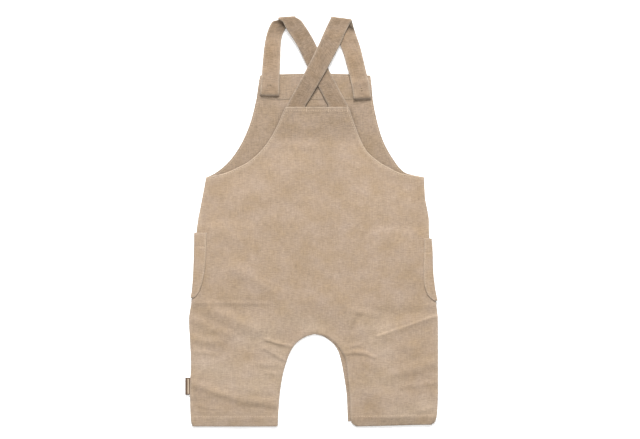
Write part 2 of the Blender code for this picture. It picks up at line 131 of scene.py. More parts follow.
POCKETS = {
    "pocket_left": [
        PocketRow(-0.0134, 0.0118, 0.0600),
        PocketRow(-0.0325, 0.0120, 0.0600),
        PocketRow(-0.0556, 0.0112, 0.0600),
        PocketRow(-0.0708, 0.0096, 0.0590),
        PocketRow(-0.0830, 0.0066, 0.0560),
        PocketRow(-0.0892, 0.0036, 0.0500),
        PocketRow(-0.0915, 0.0010, 0.0440),
    ],
    "pocket_right": [
        PocketRow(-0.0203, 0.0062, 0.0600),
        PocketRow(-0.0433, 0.0080, 0.0600),
        PocketRow(-0.0600, 0.0090, 0.0600),
        PocketRow(-0.0750, 0.0098, 0.0590),
        PocketRow(-0.0860, 0.0084, 0.0560),
        PocketRow(-0.0925, 0.0045, 0.0500),
        PocketRow(-0.0950, 0.0010, 0.0440),
    ],
}
STRAPS = {
    "strap_right": {
        "upper": [
            Rib(-0.0295, TUCK_END, -0.0085, TUCK_END, 0.0025),
            Rib(-0.0298, 0.1385, -0.0072, 0.1385, 0.0030),
            Rib(-0.0200, 0.1572, 0.0001, 0.1508, 0.0046),
            Rib(-0.0100, 0.1752, 0.0072, 0.1630, 0.0064),
            Rib(0.0072, 0.2095, 0.0206, 0.1862, 0.0066),
            Rib(0.0130, 0.2230, 0.0347, 0.2131, 0.0052),
            Rib(0.0183, 0.2345, 0.0430, 0.2318, 0.0039),
        ],
        "turn": Rib(0.0228, 0.2439, 0.0485, 0.2414, 0.00255),
        "turn_radius": 0.00135,
        "lower": [
            Rib(0.0261, 0.2324, 0.0518, 0.2299, 0.0014),
            Rib(0.0373, 0.2037, 0.0586, 0.2095, 0.0026),
            Rib(0.0415, 0.1893, 0.0622, 0.1950, 0.0036),
            Rib(0.0451, 0.1760, 0.0656, 0.1800, 0.0047),
            Rib(0.0483, 0.1609, 0.0692, 0.1640, 0.0054),
            Rib(0.0506, 0.1464, 0.0718, 0.1476, 0.0036),
        ],
    },
    "strap_left": {
        "upper": [
            Rib(0.0205, TUCK_END, 0.0420, TUCK_END, 0.0025),
            Rib(0.0200, 0.1385, 0.0436, 0.1385, 0.0030),
            Rib(0.0140, 0.1503, 0.0350, 0.1550, 0.0035),
            Rib(0.0077, 0.1624, 0.0262, 0.1720, 0.0036),
            Rib(-0.0058, 0.1874, 0.0129, 0.1970, 0.0037),
            Rib(-0.0174, 0.2110, 0.0010, 0.2205, 0.0056),
            Rib(-0.0305, 0.2312, -0.0090, 0.2362, 0.0078),
            Rib(-0.0345, 0.2390, -0.0140, 0.2420, 0.0084),
        ],
        "turn": Rib(-0.0400, 0.2418, -0.0188, 0.2444, 0.00660),
        "turn_radius": 0.00180,
        "lower": [
            Rib(-0.0472, 0.2398, -0.0262, 0.2396, 0.0043),
            Rib(-0.0521, 0.2308, -0.0308, 0.2322, 0.0022),
            Rib(-0.0549, 0.2215, -0.0352, 0.2232, 0.0015),
            Rib(-0.0571, 0.2090, -0.0370, 0.2100, 0.0020),
            Rib(-0.0586, 0.1930, -0.0374, 0.1930, 0.0033),
            Rib(-0.0595, 0.1806, -0.0380, 0.1806, 0.0047),
            Rib(-0.0607, 0.1660, -0.0385, 0.1655, 0.0055),
            Rib(-0.0619, 0.1514, -0.0388, 0.1506, 0.0038),
        ],
    },
}

# ---- Folds, placed one by one. A ridge where height is above zero, a trough below ---------------
BACK_FOLDS = [
    # the pressed line under the left pocket
    Fold(0.0017, 0.00060, ((-0.1435, -0.0978), (-0.098, -0.0976), (-0.051, -0.0990))),
    Fold(0.0100, 0.00040, ((-0.1350, -0.0900), (-0.070, -0.0890))),
    # left thigh, broad diagonals
    Fold(0.0075, 0.00230, ((-0.122, -0.1050), (-0.098, -0.1150), (-0.066, -0.1300))),
    Fold(0.0070, 0.00070, ((-0.088, -0.1040), (-0.060, -0.1180), (-0.046, -0.1290))),
    Fold(0.0055, 0.00130, ((-0.140, -0.1180), (-0.120, -0.1290), (-0.100, -0.1340))),
    # left side, short
    Fold(0.0022, 0.00060, ((-0.1440, -0.1560), (-0.132, -0.1562), (-0.117, -0.1590))),
    Fold(0.0055, 0.00120, ((-0.1400, -0.1400), (-0.122, -0.1450), (-0.108, -0.1440))),
    Fold(0.0070, 0.00060, ((-0.1380, -0.1750), (-0.108, -0.1700), (-0.080, -0.1560))),
    # left inner thigh, gathered by the curve of the seam
    Fold(0.0021, 0.00140, ((-0.054, -0.1418), (-0.041, -0.1460), (-0.022, -0.1508))),
    Fold(0.0018, 0.00150, ((-0.057, -0.1525), (-0.046, -0.1585), (-0.032, -0.1668))),
    Fold(0.0016, 0.00070, ((-0.056, -0.1812), (-0.045, -0.1822), (-0.034, -0.1850))),
    Fold(0.0035, 0.00070, ((-0.060, -0.1710), (-0.046, -0.1720), (-0.034, -0.1745))),
    Fold(0.0016, 0.00050, ((-0.058, -0.2140), (-0.042, -0.2135))),
    Fold(0.0020, 0.00050, ((-0.055, -0.2215), (-0.041, -0.2225))),
    # left calf, long soft fold down to the inner seam
    Fold(0.0046, 0.00160, ((-0.141, -0.1955), (-0.104, -0.2080), (-0.084, -0.2150), (-0.042, -0.2190))),
    Fold(0.0090, 0.00080, ((-0.094, -0.2020), (-0.046, -0.2040))),
    Fold(0.0020, 0.00045, ((-0.141, -0.2190), (-0.125, -0.2240), (-0.110, -0.2240))),
    Fold(0.0018, 0.00040, ((-0.139, -0.2275), (-0.120, -0.2300))),
    # right thigh, the sharp diagonal and the soft one above it
    Fold(0.0020, 0.00042, ((0.1500, -0.1130), (0.115, -0.1250), (0.0787, -0.1376))),
    Fold(0.0085, 0.00150, ((0.1440, -0.1130), (0.110, -0.1230), (0.086, -0.1330))),
    Fold(0.0030, 0.00045, ((0.1490, -0.0990), (0.1290, -0.1040))),
    # beside the crotch
    Fold(0.0028, -0.00150, ((0.0580, -0.1140), (0.0500, -0.1310))),
    Fold(0.0035, 0.00080, ((0.0500, -0.1080), (0.0640, -0.1090), (0.0780, -0.1115))),
    Fold(0.0014, -0.00045, ((-0.0040, -0.1345), (-0.0060, -0.1262))),
    Fold(0.0014, -0.00045, ((0.0068, -0.1335), (0.0072, -0.1250))),
    Fold(0.0014, -0.00045, ((0.0240, -0.1400), (0.0290, -0.1290))),
    # right inner thigh
    Fold(0.0020, 0.00130, ((0.0400, -0.1588), (0.0530, -0.1572), (0.0640, -0.1582), (0.0750, -0.1625))),
    Fold(0.0022, 0.00070, ((0.0420, -0.1510), (0.0560, -0.1480))),
    Fold(0.0060, 0.00060, ((0.0640, -0.1690), (0.0860, -0.1770))),
    # right leg, broad
    Fold(0.0070, 0.00160, ((0.0900, -0.1860), (0.1200, -0.1770), (0.1450, -0.1700))),
    Fold(0.0035, 0.00070, ((0.1485, -0.1935), (0.1280, -0.1965), (0.1080, -0.1980))),
    Fold(0.0030, 0.00050, ((0.1460, -0.2240), (0.1300, -0.2270))),
    Fold(0.0090, 0.00080, ((0.0700, -0.2070), (0.1150, -0.2130))),
    Fold(0.0080, 0.00060, ((0.1050, -0.1480), (0.1350, -0.1560))),
    # body, soft
    Fold(0.0080, -0.00140, ((-0.112, 0.0450), (-0.117, 0.0260), (-0.114, 0.0080))),
    Fold(0.0070, 0.00080, ((-0.1130, -0.0100), (-0.0850, -0.0240))),
    Fold(0.0080, 0.00120, ((-0.0930, -0.0560), (-0.0680, -0.0700), (-0.0420, -0.0860))),
    Fold(0.0090, 0.00060, ((0.1050, -0.0300), (0.1280, -0.0600))),
    Fold(0.0110, 0.00060, ((0.0900, 0.0380), (0.1180, 0.0150))),
    Fold(0.0018, 0.00032, ((-0.0080, 0.1215), (0.0060, 0.1222), (0.0180, 0.1212))),
    Fold(0.0018, 0.00030, ((0.0120, 0.1262), (0.0300, 0.1275))),
    Fold(0.0024, 0.00030, ((-0.0200, 0.1130), (0.0060, 0.1112))),
    Fold(0.0050, 0.00045, ((-0.0400, 0.0920), (0.0300, 0.0880))),
]
# Small puckers along the right inner seam, a few millimetres long and unevenly spaced
PUCKERS = [(-0.1930, 0.021), (-0.1985, 0.017), (-0.2045, 0.023), (-0.2100, 0.015), (-0.2160, 0.019)]
PUCKER_HALF_WIDTH = 0.0018
PUCKER_HEIGHT = 0.00042
# The front lies on the surface, so its folds only rise off it
FRONT_FOLDS = [
    Fold(0.0040, 0.00035, ((-0.130, -0.1100), (-0.080, -0.1320))),
    Fold(0.0030, 0.00030, ((0.135, -0.1150), (0.085, -0.1300))),
    Fold(0.0025, 0.00035, ((-0.055, -0.1500), (-0.032, -0.1600))),
    Fold(0.0025, 0.00035, ((0.040, -0.1540), (0.066, -0.1570))),
    Fold(0.0050, 0.00030, ((-0.060, 0.0300), (0.050, 0.0200))),
    Fold(0.0040, 0.00030, ((-0.120, -0.2050), (-0.060, -0.2150))),
]


# ---- Curves and distances ------------------------------------------------------------------------
def ramp(value):
    """0 below 0, 1 above 1, and a smooth step between."""
    t = np.clip(value, 0.0, 1.0)
    return t * t * (3 - 2 * t)


def bell(value, width):
    """1 where value is 0, fading over width to both sides."""
    return np.exp(-((value / width) ** 2))


def rolled(distance, width, depth=0.0004):
    """How far a cloth's edge rolls down, within width of it."""
    return depth * (1 - np.clip(distance / width, 0, 1)) ** 2


def curve_through(stations, values):
    """A smooth function through the points that doesn't overshoot them. It takes arrays."""
    x, v = np.array(stations, float), np.array(values, float)
    step = np.diff(x)
    rate = np.diff(v) / step
    slope = np.zeros(len(x))
    slope[0], slope[-1] = rate[0], rate[-1]
    for i in range(1, len(x) - 1):
        if rate[i - 1] * rate[i] > 0:
            slope[i] = 2 * rate[i - 1] * rate[i] / (rate[i - 1] + rate[i])

    def value(at):
        at = np.clip(at, x[0], x[-1])
        i = np.clip(np.searchsorted(x, at, side="right") - 1, 0, len(step) - 1)
        t = (at - x[i]) / step[i]
        ends = (1 + 2 * t) * (1 - t) ** 2 * v[i] + t * t * (3 - 2 * t) * v[i + 1]
        return ends + step[i] * (t * (1 - t) ** 2 * slope[i] - t * t * (1 - t) * slope[i + 1])

    return value


def column(rows, name):
    return curve_through([row.y for row in rows], [getattr(row, name) for row in rows])


def from_line(x, y, route):
    """Distance of each point from a polyline."""
    nearest = np.full(np.shape(x), 1e9)
    for (x0, y0), (x1, y1) in zip(route, route[1:]):
        run = (x1 - x0) ** 2 + (y1 - y0) ** 2
        if run == 0:
            continue
        t = np.clip(((x - x0) * (x1 - x0) + (y - y0) * (y1 - y0)) / run, 0, 1)
        nearest = np.minimum(nearest, np.hypot(x - x0 - t * (x1 - x0), y - y0 - t * (y1 - y0)))
    return nearest


def folds_at(x, y, folds):
    total = np.zeros(np.shape(x))
    for fold in folds:
        away = from_line(x, y, fold.route)
        total += fold.height * bell(away, fold.half_width)
    return total


def puckers_at(x, y):
    total = np.zeros(np.shape(x))
    inner = column(INSEAM, "right_leg_back")
    for at, length in PUCKERS:
        start = float(inner(at))
        route = ((start + 0.003, at + 0.001), (start + 0.5 * length, at), (start + length, at - 0.002))
        total += PUCKER_HEIGHT * bell(from_line(x, y, route), PUCKER_HALF_WIDTH)
    return total


def undulation(x, y, size, seed):
    """Smooth noise from -1 to 1, its features about size across."""
    flat = np.stack([np.ravel(x), np.ravel(y)], axis=1) / size
    found = [noise.noise((u, v, seed)) for u, v in flat]
    return np.reshape(found, np.shape(x))


# ---- Panels --------------------------------------------------------------------------------------
class Panel:
    """A panel's outline and the lines along its edges."""

    def __init__(self, top, arch, sides, inseam_right, hem):
        self.top, self.arch, self.hem = top, arch, hem
        self.armhole = sides
        self.upper = {side: column(sides, side) for side in ("left", "right")}
        self.lower = {side: column(SIDES, side) for side in ("left", "right")}
        self.inner_left = column(INSEAM, "left_leg")
        self.inner_right = column(INSEAM, inseam_right)

    def side(self, y, side):
        return np.where(y <= UNDERARM, self.lower[side](y), self.upper[side](y))

    def shaped(self, x, y):
        """Points moved for the arch of the top edge and the rise of the right leg's hem."""
        end = self.armhole[-1]
        across = (x - (end.right + end.left) / 2) / ((end.right - end.left) / 2)
        y = y + self.arch * np.maximum(0.0, 1 - across**2) * ramp((y - self.top + 0.04) / 0.04)
        return x, y + RIGHT_HEM_RISE * ramp((x - 0.045) / 0.10) * ramp((CROTCH - 0.04 - y) / 0.06)

    def line(self, xs, ys):
        x, y = self.shaped(np.asarray(xs, float), np.asarray(ys, float))
        return list(zip(x.tolist(), y.tolist()))

    def side_seam(self, side):
        y = np.linspace(self.hem, UNDERARM, 90)
        return self.line(self.lower[side](y), y)

    def armhole_edge(self, side, inset=0.0):
        """The armhole's edge, or a line that runs inset inside it."""
        y = UNDERARM + (self.top - UNDERARM) * np.linspace(0, 1, 80) ** 1.8
        x = self.upper[side](y)
        if inset:
            dx, dy = np.gradient(x), np.gradient(y)
            length = np.hypot(dx, dy)
            inward = 1 if side == "left" else -1
            x, y = x + inward * inset * dy / length, y - inward * inset * dx / length
        return self.line(x, y)

    def top_edge(self, inset=0.0):
        end = self.armhole[-1]
        x = np.linspace(end.left, end.right, 30)
        return self.line(x, np.full(30, self.top - inset))

    def inseam(self, leg):
        y = self.hem + (CROTCH - self.hem) * (1 - np.linspace(1, 0, 70) ** 2)
        inner = self.inner_left if leg == "left" else self.inner_right
        return self.line(inner(y), y)

    def hem_line(self, leg, inset=0.0):
        y = self.hem + inset
        if leg == "left":
            ends = (float(self.lower["left"](y)), float(self.inner_left(y)))
        else:
            ends = (float(self.inner_right(y)), float(self.lower["right"](y)))
        return self.line(np.linspace(*ends, 40), np.full(40, y))


FRONT = Panel(BIB_TOP, BIB_ARCH, BIB_SIDES, "right_leg_front", FRONT_HEM)
BACK = Panel(BACK_TOP, 0.0, BACK_SIDES, "right_leg_back", BACK_HEM)

EDGE_STEPS = np.array([0.0, 0.4, 0.9, 1.5, 2.2, 3.1, 4.3, 5.8, 7.4]) * MM


def spaced(start, end, step):
    count = max(1, math.ceil((end - start) / step))
    return np.linspace(start, end, count + 1)


def run_of(start, end, count):
    """Rows of stations from start to end, close together near both ends."""
    start, end = np.broadcast_arrays(np.atleast_1d(start), np.atleast_1d(end))
    band = np.minimum(1.0, 0.35 * (end - start) / EDGE_STEPS[-1])
    near = start[:, None] + np.outer(band, EDGE_STEPS)
    far = end[:, None] - np.outer(band, EDGE_STEPS[::-1])
    t = np.linspace(0, 1, count + 1)[1:-1]
    first, last = near[:, -1:], far[:, :1]
    return np.concatenate([near, first + (last - first) * t, far], axis=1)


def panel_rows(panel, step):
    """Heights of the rows: close together at the hem, the crotch, the underarm and the top."""
    fine = 0.8 * MM
    parts = [
        panel.hem + EDGE_STEPS[:-1],
        spaced(panel.hem + EDGE_STEPS[-1], CROTCH - 0.014, step)[:-1],
        spaced(CROTCH - 0.014, CROTCH, fine)[:-1],
        spaced(CROTCH, UNDERARM, step)[:-1],
        spaced(UNDERARM, UNDERARM + 0.013, fine)[:-1],
        spaced(UNDERARM + 0.013, panel.top - EDGE_STEPS[-1], step)[:-1],
        panel.top - EDGE_STEPS[::-1],
    ]
    return np.concatenate(parts)


def panel_grid(panel, step, count):
    """(x, y) of the left half's and the right half's vertices, and the faces over both."""
    y = panel_rows(panel, step)
    split = y < CROTCH - 1e-9
    left_end = np.where(split, panel.inner_left(y), CROTCH_X)
    right_start = np.where(split, panel.inner_right(y), CROTCH_X)
    halves = [
        run_of(panel.side(y, "left"), left_end, count),
        run_of(right_start, panel.side(y, "right"), count),
    ]
    rows, columns = halves[0].shape
    index = [np.arange(rows * columns).reshape(rows, columns)]
    index.append(index[0] + rows * columns)
    index[1][~split, 0] = index[0][~split, -1]
    x = np.concatenate([half.ravel() for half in halves])
    y = np.tile(np.repeat(y, columns), 2)
    faces = [quads(i) for i in index]
    x, y = panel.shaped(x, y)
    return x, y, np.concatenate(faces)


def quads(index):
    corners = (index[:-1, :-1], index[:-1, 1:], index[1:, 1:], index[1:, :-1])
    return np.stack([c.ravel() for c in corners], axis=1)


# ---- Heights -------------------------------------------------------------------------------------
def pocket_lift(x, y):
    """How much of a pocket's thickness the panels take up at each point, from 0 to 1."""
    lift = np.zeros(np.shape(x))
    for name, rows in POCKETS.items():
        sign = -1 if name == "pocket_left" else 1
        past = np.maximum(np.maximum(rows[-1].y - y, y - rows[0].y), 0.0)
        inside = np.maximum(0.1400 - rows[0].front - sign * x, 0.0)
        lift = np.maximum(lift, ramp(1.35 - np.hypot(past, inside) / 0.012))
    return lift


def button_lift(x, y):
    away = np.minimum(*[np.hypot(x - b.x, y - b.y) for b in BUTTONS])
    return ramp(1 - (away - 0.0085) / 0.008)


def label_lift(x, y):
    out = np.maximum(np.maximum(LABEL_LOW.y - y, y - LABEL_HIGH.y), np.maximum(x - LABEL_HIGH.x, 0))
    return ramp(1.3 - np.maximum(out, 0) / 0.008)


def front_middle(x, y):
    """Height of the front panel's middle surface."""
    lifts = (POCKET_CLOTH + GAP) * pocket_lift(x, y) + (BUTTON_THICK + GAP) * button_lift(x, y)
    flat = CLOTH / 2 + lifts + folds_at(x, y, FRONT_FOLDS)
    inside = np.minimum(front_edges["seam"](x, y), front_edges["turned"](x, y))
    rim = 0.00035 * (1 - np.clip(front_edges["seam"](x, y) / 0.0022, 0, 1)) ** 2
    body = ramp((inside - 0.012) / 0.03) * 0.00018 * (1 + undulation(x, y, 0.030, 7.3))
    return flat + rim + body


def facing_middle(x, y):
    """The facing on the bib. Its lower edge is sunk in, to show only as a line."""
    sunk = FACING_SUNK * ramp(1 - (y - FACING_LOWER) / FACING_SUNK_REACH)
    return front_middle(x, y) + (CLOTH + FACING_CLOTH) / 2 + 0.0001 - sunk


def edge_functions(panel):
    """Distance from the sewn seams, from the turned edges and from the hems, as functions."""
    seams = [seam(side) for seam in (panel.side_seam, panel.inseam) for side in ("left", "right")]
    turned = [panel.armhole_edge("left"), panel.armhole_edge("right"), panel.top_edge()]
    hems = [panel.hem_line("left"), panel.hem_line("right")]

    def nearest(lines):
        return lambda x, y: np.min([from_line(x, y, line) for line in lines], axis=0)

    return {"seam": nearest(seams), "turned": nearest(turned), "hem": nearest(hems)}


front_edges = edge_functions(FRONT)
back_edges = edge_functions(BACK)


def groove(distance, at, half_width, depth):
    return -depth * bell(distance - at, half_width)


def back_middle(x, y):
    """Height of the back panel's middle surface: air under it, folds, turned edges, hems and seams."""
    seam, turned, hem = (back_edges[kind](x, y) for kind in ("seam", "turned", "hem"))
    inside = np.minimum(np.minimum(seam, turned), hem)
    under = front_middle(x, y) + CLOTH + GAP
    tuck = (STRAP_THICK + GAP) * ramp((y - 0.094) / 0.028)
    label = 0.0011 * label_lift(x, y)
    puff = ramp((np.minimum(seam, turned) - 0.003) / 0.042) * ramp((hem + 0.010) / 0.03)
    air = 0.0019 * puff
    soft = ramp(inside / 0.020)
    legs = ramp((CROTCH + 0.03 - y) / 0.06)
    waves = (0.00036 + 0.0004 * legs) * undulation(x, y, 0.032, 1.7)
    waves += (0.00017 + 0.00018 * legs) * undulation(x, y * 1.7, 0.012, 5.1)
    shape = under + tuck + label + air + soft * waves
    reach = ramp((inside + 0.004) / 0.010)
    shape = shape + reach * (folds_at(x, y, BACK_FOLDS) + puckers_at(x, y))
    shape = np.maximum(shape, under + 0.0002 + tuck * ramp((y - 0.115) / 0.01))
    # turned edges: a second layer inside, held by a line of stitches
    shape += 0.00016 * ramp((TURNING + 0.001 - turned) / 0.003)
    shape += groove(turned, 0.0021, 0.0007, 0.00028)
    shape -= 0.00060 * (1 - np.clip(turned / 0.0011, 0, 1)) ** 2
    # hems, with the stitches pulling the cloth into small dimples
    pull = 0.6 + 0.4 * undulation(x, y * 0.2, 0.0045, 3.9)
    shape += 0.00060 * ramp((HEM_DEPTH + 0.0012 - hem) / 0.0022)
    shape += groove(hem, HEM_DEPTH, 0.0010, 0.00050) * pull
    shape -= 0.00065 * (1 - np.clip(hem / 0.0013, 0, 1)) ** 2
    # seams: an inner ridge where the turnings lie, then down over the edge
    shape += 0.00035 * ramp((0.0085 - seam) / 0.003) * ramp(seam / 0.002)
    return shape - rolled(seam, 0.0026, 0.00095)


def front_shape(x, y):
    """The front panel with the turned edges that show on the bib's inner face."""
    shape = front_middle(x, y)
    turned = front_edges["turned"](x, y)
    upper = ramp((y - UNDERARM) / 0.01) * ramp((FACING_LOWER - 0.001 - y) / 0.002)
    shape += upper * 0.00030 * ramp((TURNING + 0.0008 - turned) / 0.0016)
    return shape + upper * groove(turned, 0.0022, 0.0008, 0.00012)


# ---- Meshes --------------------------------------------------------------------------------------
def mesh_object(name, points, faces, cloth_uv=None, attributes=None):
    """A smooth mesh object. cloth_uv is each vertex's place on the flat cloth, in metres."""
    mesh = bpy.data.meshes.new(name)
    mesh.from_pydata(np.asarray(points).tolist(), [], [list(map(int, f)) for f in faces])
    mesh.validate()
    loops = np.empty(len(mesh.loops), np.int32)
    mesh.loops.foreach_get("vertex_index", loops)
    if cloth_uv is not None:
        layer = mesh.uv_layers.new(name="cloth")
        layer.data.foreach_set("uv", np.asarray(cloth_uv, np.float32)[loops].ravel())
    for key, values in (attributes or {}).items():
        made = mesh.attributes.new(key, "FLOAT", "POINT")
        made.data.foreach_set("value", np.asarray(values, np.float32))
    mesh.shade_smooth()
    made = bpy.data.objects.new(name, mesh)
    bpy.context.scene.collection.objects.link(made)
    return made


def used_only(points, faces, uv, attributes):
    """Drops vertices that no face uses."""
    kept, index = np.unique(faces, return_inverse=True)
    faces = index.reshape(faces.shape)
    return points[kept], faces, uv[kept], {k: v[kept] for k, v in attributes.items()}


def thicken(obj, thickness):
    solid = obj.modifiers.new("wall", "SOLIDIFY")
    solid.thickness = thickness
    solid.offset = 0
    solid.use_even_offset = True
    solid.use_quality_normals = True


def make_panel(name, panel, height, edges, step, count, tone, pale=None):
    x, y, faces = panel_grid(panel, step, count)
    points = np.stack([x, y, height(x, y)], axis=1)
    # rim: paler edges, partly worn nap and partly painted highlight; pale adds the worn patches
    rim = np.min([edges[kind](x, y) for kind in ("seam", "turned", "hem")], axis=0)
    rim = np.exp(-rim / 0.0016)
    if pale:
        rim = np.maximum(rim, pale(x, y))
    attributes = {"rim": rim, "tone": tone(x, y)}
    points, faces, uv, attributes = used_only(points, faces, np.stack([x, y], axis=1), attributes)
    made = mesh_object(name, points, faces, uv, attributes)
    thicken(made, CLOTH)
    return made


def make_facing():
    """The strip behind the bib's top, on the bib's own outline."""
    rows = np.concatenate([
        FACING_LOWER + EDGE_STEPS[:6],
        spaced(FACING_LOWER + EDGE_STEPS[6], BIB_TOP - EDGE_STEPS[-1], 2 * MM)[:-1],
        BIB_TOP - 0.0004 - EDGE_STEPS[::-1],
    ])
    inset = 0.0006
    x = run_of(FRONT.side(rows, "left") + inset, FRONT.side(rows, "right") - inset, 64)
    index = np.arange(x.size).reshape(x.shape)
    y = np.repeat(rows, x.shape[1])
    x, y = FRONT.shaped(x.ravel(), y)
    shape = facing_middle(x, y)
    lower = y - FACING_LOWER
    shape += groove(lower, 0.0030, 0.0008, 0.00025) - rolled(lower, 0.001)
    turned = front_edges["turned"](x, y)
    shape += groove(turned, 0.0024, 0.0008, 0.00020) - rolled(turned, 0.0012)
    # Paler edges: partly worn nap and partly painted highlight
    rim = np.exp(-np.minimum(turned, lower) / 0.0014)
    tone = np.full(len(x), -0.80)
    made = mesh_object("bib_facing_cloth", np.stack([x, y, shape], axis=1), quads(index),
                       np.stack([x, y], axis=1), {"rim": rim, "tone": tone})
    thicken(made, FACING_CLOTH)
    return made


# ---- Pockets -------------------------------------------------------------------------------------
POCKET_LOW = POCKET_CLOTH / 2
POCKET_HIGH = 0.0048


def pocket_frame(name):
    side = "left" if name == "pocket_left" else "right"
    return -1 if side == "left" else 1, column(SIDES, side)


def strip_middle(name, x, y):
    """Height of the middle of a pocket's strip, which settles onto the back inside the seam."""
    outward, edge_at = pocket_frame(name)
    inside = outward * (edge_at(y) - x)
    over = back_middle(x, y) + (CLOTH + POCKET_CLOTH) / 2 + 0.0001
    hem = 0.00035 * ramp((0.0185 + y - POCKETS[name][0].y) / -0.0015 + 1)
    return over + np.maximum(POCKET_HIGH - over, 0) * bell(inside, 0.005) + hem


def make_pocket(name, rows):
    """A patch from the front panel's underside, round the side seam, onto the back panel."""
    outward, edge_at = pocket_frame(name)
    heights = [-row.y for row in rows]
    strip_at = curve_through(heights, [row.strip for row in rows])
    front_at = curve_through(heights, [row.front for row in rows])
    down = np.concatenate([
        heights[0] + EDGE_STEPS[:5],
        spaced(heights[0] + EDGE_STEPS[5], heights[-1], 1.2 * MM),
    ])
    radius = (POCKET_HIGH - POCKET_LOW) / 2
    points, uv = [], []
    for at in down:
        edge, strip, front = float(edge_at(-at)), float(strip_at(at)), float(front_at(at))
        bulge = radius * (1.0 + 0.25 * math.exp(-(at - heights[0]) / 0.018))
        for share in np.linspace(1, 0, 24)[:-1]:
            points.append((edge - outward * front * share, -at, POCKET_LOW))
            uv.append((-front * share, -at))
        for angle in np.linspace(0, math.pi, 13):
            z = POCKET_LOW + radius * (1 - math.cos(angle))
            points.append((edge + outward * bulge * math.sin(angle), -at, z))
            uv.append((radius * angle, -at))
        for share in np.linspace(0, 1, 15)[1:]:
            points.append((edge - outward * strip * share, -at, POCKET_HIGH))
            uv.append((math.pi * radius + strip * share, -at))
    points = np.array(points)
    index = np.arange(len(points)).reshape(len(down), -1)
    x, y, z = points.T
    top = z > POCKET_HIGH - 0.0004
    drop = -y - heights[0]
    from_inner = strip_at(-y) - outward * (edge_at(y) - x)
    shape = np.maximum(strip_middle(name, x, y), np.where(outward * (x - edge_at(y)) > 0, z, 0))
    shape += groove(drop, 0.0160, 0.0007, 0.0003) + groove(from_inner, 0.0018, 0.0006, 0.0002)
    shape -= rolled(from_inner, 0.0009)
    points[:, 2] = np.where(top, shape, z)
    # Paler edges: partly worn nap and partly painted highlight
    rim = np.exp(-np.minimum(np.abs(from_inner), drop) / 0.0012)
    tone = np.full(len(points), 0.25)
    made = mesh_object(name + "_cloth", points, quads(index), uv, {"rim": rim, "tone": tone})
    thicken(made, POCKET_CLOTH)
    return made


# ---- Straps --------------------------------------------------------------------------------------
STRAP_STEPS = 9
TURN_STEPS = 14
TURN_TAPER = 0.45


def catmull(a, b, c, d, t):
    p, q, r, s = (np.array(v) for v in (a, b, c, d))
    return 0.5 * (2 * q + (r - p) * t + (2 * p - 5 * q + 4 * r - s) * t**2 + (3 * q - p - 3 * r + s) * t**3)


def smoothed(ribs):
    found = [np.array(ribs[0])]
    for i in range(len(ribs) - 1):
        four = [ribs[min(max(i + k, 0), len(ribs) - 1)] for k in (-1, 0, 1, 2)]
        found += [catmull(*four, step / STRAP_STEPS) for step in range(1, STRAP_STEPS + 1)]
    return found


def turn_ribs(turn, radius):
    run = Vector((turn.right_x - turn.left_x, turn.right_y - turn.left_y)).normalized()
    out_x, out_y = -run.y, run.x
    ribs = []
    for angle in np.linspace(0, math.pi, TURN_STEPS + 1):
        reach, z = radius * math.sin(angle), turn.z + radius * math.cos(angle)
        right = TURN_TAPER * reach
        ribs.append(Rib(turn.left_x + reach * out_x, turn.left_y + reach * out_y,
                        turn.right_x + right * out_x, turn.right_y + right * out_y, z))
    return ribs


def above_bib(rib):
    """The rib raised to clear the facing under it, where it lies on the bib's inner face."""
    left_x, left_y, right_x, right_y, z = rib
    lowest, highest = min(left_y, right_y), max(left_y, right_y)
    near = ramp((BIB_TOP + 0.018 - lowest) / 0.014) * ramp((highest - FACING_LOWER + 0.012) / 0.010)
    x, y = np.linspace(left_x, right_x, 5), np.linspace(left_y, right_y, 5)
    least = float(np.max(facing_middle(x, y))) + (FACING_CLOTH + STRAP_THICK) / 2 + GAP
    return np.array([left_x, left_y, right_x, right_y, z + max(0.0, least - z) * float(near)])


# Wrinkles across each strap: how far along from the tucked end, half width and height
STRAP_WRINKLES = {
    "strap_right": [
        (0.030, 0.0035, 0.00030), (0.045, 0.0032, -0.00030), (0.078, 0.0040, 0.00030),
        (0.091, 0.0026, -0.00034), (0.104, 0.0036, 0.00036), (0.136, 0.0030, -0.00050),
        (0.143, 0.0026, 0.00045), (0.156, 0.0028, -0.00045), (0.166, 0.0036, 0.00045),
        (0.180, 0.0030, -0.00038), (0.191, 0.0036, 0.00034), (0.207, 0.0030, 0.00030),
    ],
    "strap_left": [
        (0.030, 0.0036, 0.00028), (0.072, 0.0040, -0.00034), (0.086, 0.0036, 0.00040),
        (0.104, 0.0042, -0.00045), (0.1385, 0.0022, 0.00060), (0.1440, 0.0020, -0.00070),
        (0.1495, 0.0022, 0.00065), (0.1570, 0.0028, -0.00045), (0.168, 0.0034, 0.00045),
        (0.181, 0.0030, -0.00040), (0.192, 0.0036, 0.00034), (0.212, 0.0030, 0.00028),
    ],
}


# A strap's edges are slightly thicker. Its buttoned end is pressed flatter, with rounded corners
EDGE_BEAD, EDGE_BEAD_AT, EDGE_BEAD_WIDTH = 0.00016, 0.86, 0.07
END_ROUND = 0.0006
END_PRESS, END_PRESS_REACH = 0.42, 0.0125
CORNER_REACH, CORNER_CUT = 0.0022, 0.07
UNDERSIDE_UV = 0.05
# Below each turn: where the painted shade of the hollow lies, its reach, its side and its depth
TURN_HOLLOW_SHADE = {"strap_left": (0.010, 0.0090, 0.6, 3.8), "strap_right": (0.008, 0.0065, 0.8, 3.6)}


